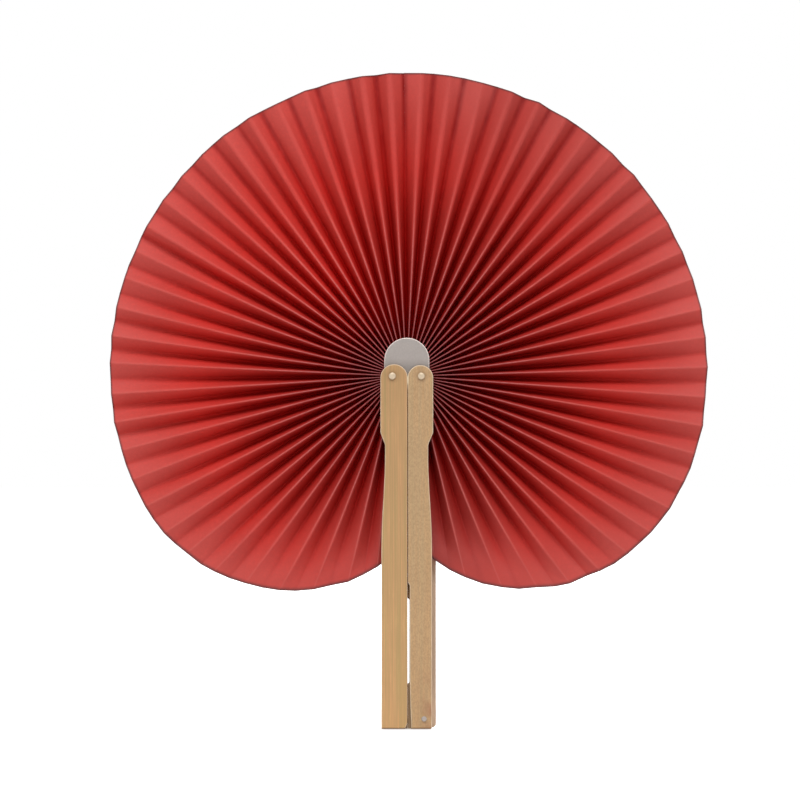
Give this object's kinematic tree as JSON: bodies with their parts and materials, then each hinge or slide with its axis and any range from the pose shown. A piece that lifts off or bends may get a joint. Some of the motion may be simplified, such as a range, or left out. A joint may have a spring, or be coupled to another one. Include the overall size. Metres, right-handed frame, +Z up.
{
  "type": "folding fan",
  "caption": "Round folding fan: wooden channel handles swing on a steel bridge, opening a pleated red paper leaf into a disc and closing over it like a case.",
  "frame": {"origin": "middle of the grip: between the two handles, 95 mm below the rivets, in the middle of their depth", "axes": "+Z up along the handles towards the leaf, -Y is the front, +X to the right seen from the front, the right handle holds the latch"},
  "size_m": [0.2496, 0.014, 0.2736],
  "materials": {
    "steel_plate": "matt, fine stamped grain",
    "brass_rivet": "pale, satin domed heads",
    "bamboo": "laminated bamboo, thin satin lacquer",
    "steel_latch": "satin",
    "red_paper": "matt dyed paper, worn paler along the creases"
  },
  "bodies": {
    "bridge": {"front_plate": "steel_plate", "back_plate": "steel_plate", "left_rivet": "brass_rivet", "right_rivet": "brass_rivet"},
    "left_handle": {"left_handle": "bamboo", "leaf_left_end": "red_paper"},
    "right_handle": {"right_handle": "bamboo", "leaf_right_end": "red_paper", "latch_pin": "steel_latch"},
    "latch": {"latch": "steel_latch"},
    "leaf_left_01": {"leaf_left_01": "red_paper"},
    "leaf_left_02": {"leaf_left_02": "red_paper"},
    "leaf_left_03": {"leaf_left_03": "red_paper"},
    "leaf_left_04": {"leaf_left_04": "red_paper"},
    "leaf_left_05": {"leaf_left_05": "red_paper"},
    "leaf_left_06": {"leaf_left_06": "red_paper"},
    "leaf_left_07": {"leaf_left_07": "red_paper"},
    "leaf_left_08": {"leaf_left_08": "red_paper"},
    "leaf_left_09": {"leaf_left_09": "red_paper"},
    "leaf_left_10": {"leaf_left_10": "red_paper"},
    "leaf_left_11": {"leaf_left_11": "red_paper"},
    "leaf_left_12": {"leaf_left_12": "red_paper"},
    "leaf_left_13": {"leaf_left_13": "red_paper"},
    "leaf_left_14": {"leaf_left_14": "red_paper"},
    "leaf_left_15": {"leaf_left_15": "red_paper"},
    "leaf_right_01": {"leaf_right_01": "red_paper"},
    "leaf_right_02": {"leaf_right_02": "red_paper"},
    "leaf_right_03": {"leaf_right_03": "red_paper"},
    "leaf_right_04": {"leaf_right_04": "red_paper"},
    "leaf_right_05": {"leaf_right_05": "red_paper"},
    "leaf_right_06": {"leaf_right_06": "red_paper"},
    "leaf_right_07": {"leaf_right_07": "red_paper"},
    "leaf_right_08": {"leaf_right_08": "red_paper"},
    "leaf_right_09": {"leaf_right_09": "red_paper"},
    "leaf_right_10": {"leaf_right_10": "red_paper"},
    "leaf_right_11": {"leaf_right_11": "red_paper"},
    "leaf_right_12": {"leaf_right_12": "red_paper"},
    "leaf_right_13": {"leaf_right_13": "red_paper"},
    "leaf_right_14": {"leaf_right_14": "red_paper"},
    "leaf_right_15": {"leaf_right_15": "red_paper"}
  },
  "joints": [
    {"name": "left_handle_pivot", "type": "hinge", "parent": "bridge", "child": "left_handle", "pos_m": [-0.00605, 0, 0.095], "axis": [0, 1, 0], "range_deg": [0, 180], "deforming": ["leaf_left_end"]},
    {"name": "right_handle_pivot", "type": "hinge", "parent": "bridge", "child": "right_handle", "pos_m": [0.00605, 0, 0.095], "axis": [0, -1, 0], "range_deg": [0, 180], "deforming": ["leaf_right_end"]},
    {"name": "latch_pivot", "type": "hinge", "parent": "right_handle", "child": "latch", "pos_m": [0.0072, 0, -0.0478], "axis": [0, -1, 0], "range_deg": [0, 90]},
    {"name": "left_fold_01", "type": "hinge", "parent": "bridge", "child": "leaf_left_01", "pos_m": [-0.004, 0, 0.095], "axis": [0, 1, 0], "range_deg": [0, 11.18], "deforming": ["leaf_left_01"]},
    {"name": "left_fold_02", "type": "hinge", "parent": "leaf_left_01", "child": "leaf_left_02", "pos_m": [-0.004, 0, 0.095], "axis": [0, 1, 0], "range_deg": [0, 11.18], "deforming": ["leaf_left_02"]},
    {"name": "left_fold_03", "type": "hinge", "parent": "leaf_left_02", "child": "leaf_left_03", "pos_m": [-0.004, 0, 0.095], "axis": [0, 1, 0], "range_deg": [0, 11.18], "deforming": ["leaf_left_03"]},
    {"name": "left_fold_04", "type": "hinge", "parent": "leaf_left_03", "child": "leaf_left_04", "pos_m": [-0.004, 0, 0.095], "axis": [0, 1, 0], "range_deg": [0, 11.18], "deforming": ["leaf_left_04"]},
    {"name": "left_fold_05", "type": "hinge", "parent": "leaf_left_04", "child": "leaf_left_05", "pos_m": [-0.004, 0, 0.095], "axis": [0, 1, 0], "range_deg": [0, 11.18], "deforming": ["leaf_left_05"]},
    {"name": "left_fold_06", "type": "hinge", "parent": "leaf_left_05", "child": "leaf_left_06", "pos_m": [-0.004, 0, 0.095], "axis": [0, 1, 0], "range_deg": [0, 11.18], "deforming": ["leaf_left_06"]},
    {"name": "left_fold_07", "type": "hinge", "parent": "leaf_left_06", "child": "leaf_left_07", "pos_m": [-0.004, 0, 0.095], "axis": [0, 1, 0], "range_deg": [0, 11.18], "deforming": ["leaf_left_07"]},
    {"name": "left_fold_08", "type": "hinge", "parent": "leaf_left_07", "child": "leaf_left_08", "pos_m": [-0.004, 0, 0.095], "axis": [0, 1, 0], "range_deg": [0, 11.18], "deforming": ["leaf_left_08"]},
    {"name": "left_fold_09", "type": "hinge", "parent": "leaf_left_08", "child": "leaf_left_09", "pos_m": [-0.004, 0, 0.095], "axis": [0, 1, 0], "range_deg": [0, 11.22], "deforming": ["leaf_left_09"]},
    {"name": "left_fold_10", "type": "hinge", "parent": "leaf_left_09", "child": "leaf_left_10", "pos_m": [-0.004, 0, 0.095], "axis": [0, 1, 0], "range_deg": [0, 11.52], "deforming": ["leaf_left_10"]},
    {"name": "left_fold_11", "type": "hinge", "parent": "leaf_left_10", "child": "leaf_left_11", "pos_m": [-0.004, 0, 0.095], "axis": [0, 1, 0], "range_deg": [0, 12.14], "deforming": ["leaf_left_11"]},
    {"name": "left_fold_12", "type": "hinge", "parent": "leaf_left_11", "child": "leaf_left_12", "pos_m": [-0.004, 0, 0.095], "axis": [0, 1, 0], "range_deg": [0, 13.08], "deforming": ["leaf_left_12"]},
    {"name": "left_fold_13", "type": "hinge", "parent": "leaf_left_12", "child": "leaf_left_13", "pos_m": [-0.004, 0, 0.095], "axis": [0, 1, 0], "range_deg": [0, 14.36], "deforming": ["leaf_left_13"]},
    {"name": "left_fold_14", "type": "hinge", "parent": "leaf_left_13", "child": "leaf_left_14", "pos_m": [-0.004, 0, 0.095], "axis": [0, 1, 0], "range_deg": [0, 15.96], "deforming": ["leaf_left_14"]},
    {"name": "left_fold_15", "type": "hinge", "parent": "leaf_left_14", "child": "leaf_left_15", "pos_m": [-0.004, 0, 0.095], "axis": [0, 1, 0], "range_deg": [0, 8.68], "deforming": ["leaf_left_15"]},
    {"name": "right_fold_01", "type": "hinge", "parent": "bridge", "child": "leaf_right_01", "pos_m": [0.004, 0, 0.095], "axis": [0, -1, 0], "range_deg": [0, 11.18], "deforming": ["leaf_right_01"]},
    {"name": "right_fold_02", "type": "hinge", "parent": "leaf_right_01", "child": "leaf_right_02", "pos_m": [0.004, 0, 0.095], "axis": [0, -1, 0], "range_deg": [0, 11.18], "deforming": ["leaf_right_02"]},
    {"name": "right_fold_03", "type": "hinge", "parent": "leaf_right_02", "child": "leaf_right_03", "pos_m": [0.004, 0, 0.095], "axis": [0, -1, 0], "range_deg": [0, 11.18], "deforming": ["leaf_right_03"]},
    {"name": "right_fold_04", "type": "hinge", "parent": "leaf_right_03", "child": "leaf_right_04", "pos_m": [0.004, 0, 0.095], "axis": [0, -1, 0], "range_deg": [0, 11.18], "deforming": ["leaf_right_04"]},
    {"name": "right_fold_05", "type": "hinge", "parent": "leaf_right_04", "child": "leaf_right_05", "pos_m": [0.004, 0, 0.095], "axis": [0, -1, 0], "range_deg": [0, 11.18], "deforming": ["leaf_right_05"]},
    {"name": "right_fold_06", "type": "hinge", "parent": "leaf_right_05", "child": "leaf_right_06", "pos_m": [0.004, 0, 0.095], "axis": [0, -1, 0], "range_deg": [0, 11.18], "deforming": ["leaf_right_06"]},
    {"name": "right_fold_07", "type": "hinge", "parent": "leaf_right_06", "child": "leaf_right_07", "pos_m": [0.004, 0, 0.095], "axis": [0, -1, 0], "range_deg": [0, 11.18], "deforming": ["leaf_right_07"]},
    {"name": "right_fold_08", "type": "hinge", "parent": "leaf_right_07", "child": "leaf_right_08", "pos_m": [0.004, 0, 0.095], "axis": [0, -1, 0], "range_deg": [0, 11.18], "deforming": ["leaf_right_08"]},
    {"name": "right_fold_09", "type": "hinge", "parent": "leaf_right_08", "child": "leaf_right_09", "pos_m": [0.004, 0, 0.095], "axis": [0, -1, 0], "range_deg": [0, 11.22], "deforming": ["leaf_right_09"]},
    {"name": "right_fold_10", "type": "hinge", "parent": "leaf_right_09", "child": "leaf_right_10", "pos_m": [0.004, 0, 0.095], "axis": [0, -1, 0], "range_deg": [0, 11.52], "deforming": ["leaf_right_10"]},
    {"name": "right_fold_11", "type": "hinge", "parent": "leaf_right_10", "child": "leaf_right_11", "pos_m": [0.004, 0, 0.095], "axis": [0, -1, 0], "range_deg": [0, 12.14], "deforming": ["leaf_right_11"]},
    {"name": "right_fold_12", "type": "hinge", "parent": "leaf_right_11", "child": "leaf_right_12", "pos_m": [0.004, 0, 0.095], "axis": [0, -1, 0], "range_deg": [0, 13.08], "deforming": ["leaf_right_12"]},
    {"name": "right_fold_13", "type": "hinge", "parent": "leaf_right_12", "child": "leaf_right_13", "pos_m": [0.004, 0, 0.095], "axis": [0, -1, 0], "range_deg": [0, 14.36], "deforming": ["leaf_right_13"]},
    {"name": "right_fold_14", "type": "hinge", "parent": "leaf_right_13", "child": "leaf_right_14", "pos_m": [0.004, 0, 0.095], "axis": [0, -1, 0], "range_deg": [0, 15.96], "deforming": ["leaf_right_14"]},
    {"name": "right_fold_15", "type": "hinge", "parent": "leaf_right_14", "child": "leaf_right_15", "pos_m": [0.004, 0, 0.095], "axis": [0, -1, 0], "range_deg": [0, 8.68], "deforming": ["leaf_right_15"]}
  ],
  "couplings": [
    {"joint": "left_fold_01", "follows": "left_handle_pivot", "ratio": 0.0621},
    {"joint": "left_fold_02", "follows": "left_handle_pivot", "ratio": 0.0621},
    {"joint": "left_fold_03", "follows": "left_handle_pivot", "ratio": 0.0621},
    {"joint": "left_fold_04", "follows": "left_handle_pivot", "ratio": 0.0621},
    {"joint": "left_fold_05", "follows": "left_handle_pivot", "ratio": 0.0621},
    {"joint": "left_fold_06", "follows": "left_handle_pivot", "ratio": 0.0621},
    {"joint": "left_fold_07", "follows": "left_handle_pivot", "ratio": 0.0621},
    {"joint": "left_fold_08", "follows": "left_handle_pivot", "ratio": 0.0621},
    {"joint": "left_fold_09", "follows": "left_handle_pivot", "ratio": 0.06232},
    {"joint": "left_fold_10", "follows": "left_handle_pivot", "ratio": 0.06396},
    {"joint": "left_fold_11", "follows": "left_handle_pivot", "ratio": 0.0674},
    {"joint": "left_fold_12", "follows": "left_handle_pivot", "ratio": 0.07266},
    {"joint": "left_fold_13", "follows": "left_handle_pivot", "ratio": 0.07973},
    {"joint": "left_fold_14", "follows": "left_handle_pivot", "ratio": 0.08862},
    {"joint": "left_fold_15", "follows": "left_handle_pivot", "ratio": 0.04821},
    {"joint": "right_fold_01", "follows": "right_handle_pivot", "ratio": 0.0621},
    {"joint": "right_fold_02", "follows": "right_handle_pivot", "ratio": 0.0621},
    {"joint": "right_fold_03", "follows": "right_handle_pivot", "ratio": 0.0621},
    {"joint": "right_fold_04", "follows": "right_handle_pivot", "ratio": 0.0621},
    {"joint": "right_fold_05", "follows": "right_handle_pivot", "ratio": 0.0621},
    {"joint": "right_fold_06", "follows": "right_handle_pivot", "ratio": 0.0621},
    {"joint": "right_fold_07", "follows": "right_handle_pivot", "ratio": 0.0621},
    {"joint": "right_fold_08", "follows": "right_handle_pivot", "ratio": 0.0621},
    {"joint": "right_fold_09", "follows": "right_handle_pivot", "ratio": 0.06232},
    {"joint": "right_fold_10", "follows": "right_handle_pivot", "ratio": 0.06396},
    {"joint": "right_fold_11", "follows": "right_handle_pivot", "ratio": 0.0674},
    {"joint": "right_fold_12", "follows": "right_handle_pivot", "ratio": 0.07266},
    {"joint": "right_fold_13", "follows": "right_handle_pivot", "ratio": 0.07973},
    {"joint": "right_fold_14", "follows": "right_handle_pivot", "ratio": 0.08862},
    {"joint": "right_fold_15", "follows": "right_handle_pivot", "ratio": 0.04821}
  ]
}
